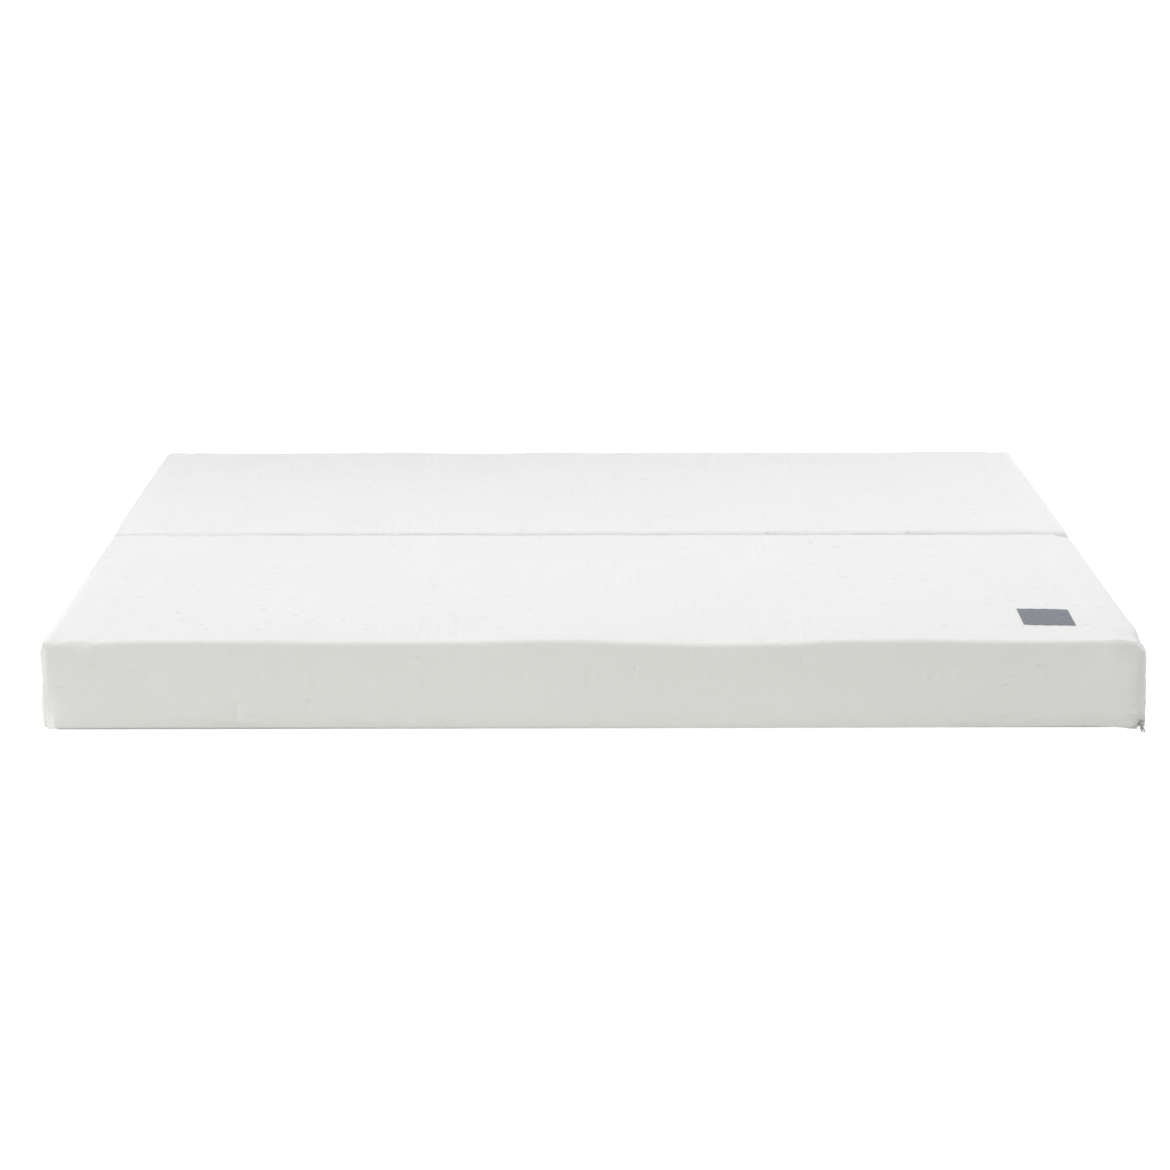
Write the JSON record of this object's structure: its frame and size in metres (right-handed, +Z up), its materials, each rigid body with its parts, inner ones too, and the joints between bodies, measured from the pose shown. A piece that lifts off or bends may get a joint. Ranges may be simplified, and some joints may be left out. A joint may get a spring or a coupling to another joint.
{
  "type": "sofa bed mattress",
  "caption": "Two-part folding sofa bed mattress: zipped white knit covers on foam slabs, joined by a strip along the centre fold.",
  "frame": {"origin": "on the floor, under the middle of the fold between the two halves", "axes": "+X to the right along the length of the mattress, +Y from the front half to the rear half, +Z up"},
  "size_m": [1.907, 1.3568, 0.1595],
  "materials": {
    "knit_white": "matt jacquard knit with a faint diamond lattice",
    "base_cloth": "matt plain woven cloth",
    "foam": "open-cell polyurethane foam, matt",
    "tape_white": "woven polyester tape",
    "coil_white": "satin nylon coil",
    "nickel": "nickel-plated zinc, satin",
    "label_grey": "matt woven patch"
  },
  "bodies": {
    "front_half": {"front_foam_core": "foam", "front_cover_top": "knit_white", "front_cover_base": "base_cloth", "front_cover_left_end": "knit_white", "front_cover_right_end": "knit_white", "front_cover_fold_side": "knit_white", "front_label": "label_grey", "front_zip_upper_tape": "tape_white", "front_zip_lower_tape": "tape_white", "front_zip_upper_coil": "coil_white", "front_zip_lower_coil": "coil_white", "front_zip_bottom_stop": "nickel", "front_zip_upper_top_stop": "nickel", "front_zip_lower_top_stop": "nickel", "fold_strip": "tape_white"},
    "rear_half": {"rear_foam_core": "foam", "rear_cover_top": "knit_white", "rear_cover_base": "base_cloth", "rear_cover_left_end": "knit_white", "rear_cover_right_end": "knit_white", "rear_cover_fold_side": "knit_white", "rear_zip_upper_tape": "tape_white", "rear_zip_lower_tape": "tape_white", "rear_zip_upper_coil": "coil_white", "rear_zip_lower_coil": "coil_white", "rear_zip_bottom_stop": "nickel", "rear_zip_upper_top_stop": "nickel", "rear_zip_lower_top_stop": "nickel"},
    "front_slider": {"front_zip_slider": "nickel"},
    "front_pull": {"front_zip_pull": "nickel"},
    "rear_slider": {"rear_zip_slider": "nickel"},
    "rear_pull": {"rear_zip_pull": "nickel"}
  },
  "joints": [
    {"name": "centre_fold", "type": "hinge", "parent": "front_half", "child": "rear_half", "pos_m": [0, 0, 0.1602], "axis": [1, 0, 0], "range_deg": [0, 180], "deforming": ["fold_strip"]},
    {"name": "front_zip_slide", "type": "slide", "parent": "front_half", "child": "front_slider", "axis": [-1, 0, 0], "range_m": [0, 1.864]},
    {"name": "front_pull_swing", "type": "hinge", "parent": "front_slider", "child": "front_pull", "pos_m": [0.9445, -0.6549, 0.0065], "axis": [-1, 0, 0], "range_deg": [-75, 105]},
    {"name": "rear_zip_slide", "type": "slide", "parent": "rear_half", "child": "rear_slider", "axis": [1, 0, 0], "range_m": [0, 1.864]},
    {"name": "rear_pull_swing", "type": "hinge", "parent": "rear_slider", "child": "rear_pull", "pos_m": [-0.9445, 0.6549, 0.0065], "axis": [1, 0, 0], "range_deg": [-75, 105]}
  ]
}
